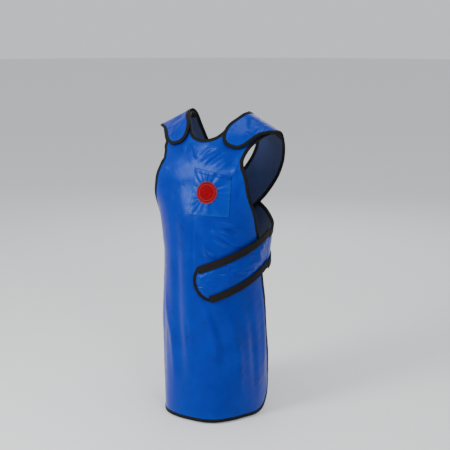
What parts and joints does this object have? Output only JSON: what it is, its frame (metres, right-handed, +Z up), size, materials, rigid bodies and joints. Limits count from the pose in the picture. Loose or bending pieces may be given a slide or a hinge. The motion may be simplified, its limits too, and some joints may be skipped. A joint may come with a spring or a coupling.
{
  "type": "lead apron",
  "caption": "Frontal X-ray protection apron with bound edges, chest pocket, shoulder flaps, crossed back straps and a side waist flap with elastic bands.",
  "frame": {"origin": "midway between the two shoulders, at the height where the apron rests on them beside the neck", "axes": "+Z up, the apron faces -Y, +X is the wearer's left"},
  "size_m": [0.4016, 0.3011, 0.9146],
  "materials": {
    "blue_nylon": "glossy wipe-clean coated nylon",
    "lining_nylon": "matt coated nylon",
    "lead_vinyl": "matt lead-loaded vinyl sheet",
    "black_binding": "ribbed woven tape",
    "elastic_webbing": "ribbed elastic webbing",
    "loop_pile": "brushed loop pile",
    "hook_tape": "moulded nylon hooks",
    "foam_pad": "closed-cell foam sheet",
    "badge_twill": "embroidered twill"
  },
  "bodies": {
    "front_apron": {"front_lining": "lining_nylon", "left_back_strap_lining": "lining_nylon", "right_back_strap_lining": "lining_nylon", "front_cover": "blue_nylon", "chest_pocket": "blue_nylon", "pocket_hem": "blue_nylon", "left_back_strap_cover": "blue_nylon", "right_back_strap_cover": "blue_nylon", "front_lead_core_inner": "lead_vinyl", "front_lead_core_outer": "lead_vinyl", "neckline_binding": "black_binding", "hem_binding": "black_binding", "left_side_binding": "black_binding", "right_side_binding": "black_binding", "left_shoulder_end_binding": "black_binding", "right_shoulder_end_binding": "black_binding", "left_back_strap_upper_binding": "black_binding", "left_back_strap_lower_binding": "black_binding", "right_back_strap_upper_binding": "black_binding", "right_back_strap_lower_binding": "black_binding", "upper_elastic_back": "elastic_webbing", "lower_elastic_back": "elastic_webbing", "left_shoulder_loop_patch": "loop_pile", "right_shoulder_loop_patch": "loop_pile", "waist_loop_strip": "loop_pile", "pocket_badge": "badge_twill"},
    "left_shoulder_flap": {"left_shoulder_flap_lining": "lining_nylon", "left_shoulder_flap_cover": "blue_nylon", "left_shoulder_flap_binding": "black_binding", "left_shoulder_hook_patch": "hook_tape", "left_shoulder_flap_pad": "foam_pad"},
    "right_shoulder_flap": {"right_shoulder_flap_lining": "lining_nylon", "right_shoulder_flap_cover": "blue_nylon", "right_shoulder_flap_binding": "black_binding", "right_shoulder_hook_patch": "hook_tape", "right_shoulder_flap_pad": "foam_pad"},
    "waist_flap": {"waist_flap_lining": "lining_nylon", "waist_flap_cover": "blue_nylon", "waist_flap_binding": "black_binding", "upper_elastic_front": "elastic_webbing", "lower_elastic_front": "elastic_webbing", "waist_hook_strip": "hook_tape"}
  },
  "joints": [
    {"name": "left_shoulder_flap_lift", "type": "hinge", "parent": "front_apron", "child": "left_shoulder_flap", "pos_m": [0.14808, 0.02221, -0.02746], "axis": [-0.8887, 0.051, 0.4557], "range_deg": [0, 100]},
    {"name": "right_shoulder_flap_lift", "type": "hinge", "parent": "front_apron", "child": "right_shoulder_flap", "pos_m": [-0.14808, 0.02221, -0.02746], "axis": [-0.8887, -0.051, -0.4557], "range_deg": [0, 100]},
    {"name": "waist_flap_opening", "type": "hinge", "parent": "front_apron", "child": "waist_flap", "pos_m": [0.17219, 0.01315, -0.40973], "axis": [0.0736, -0.0565, 0.9957], "range_deg": [0, 110]}
  ]
}
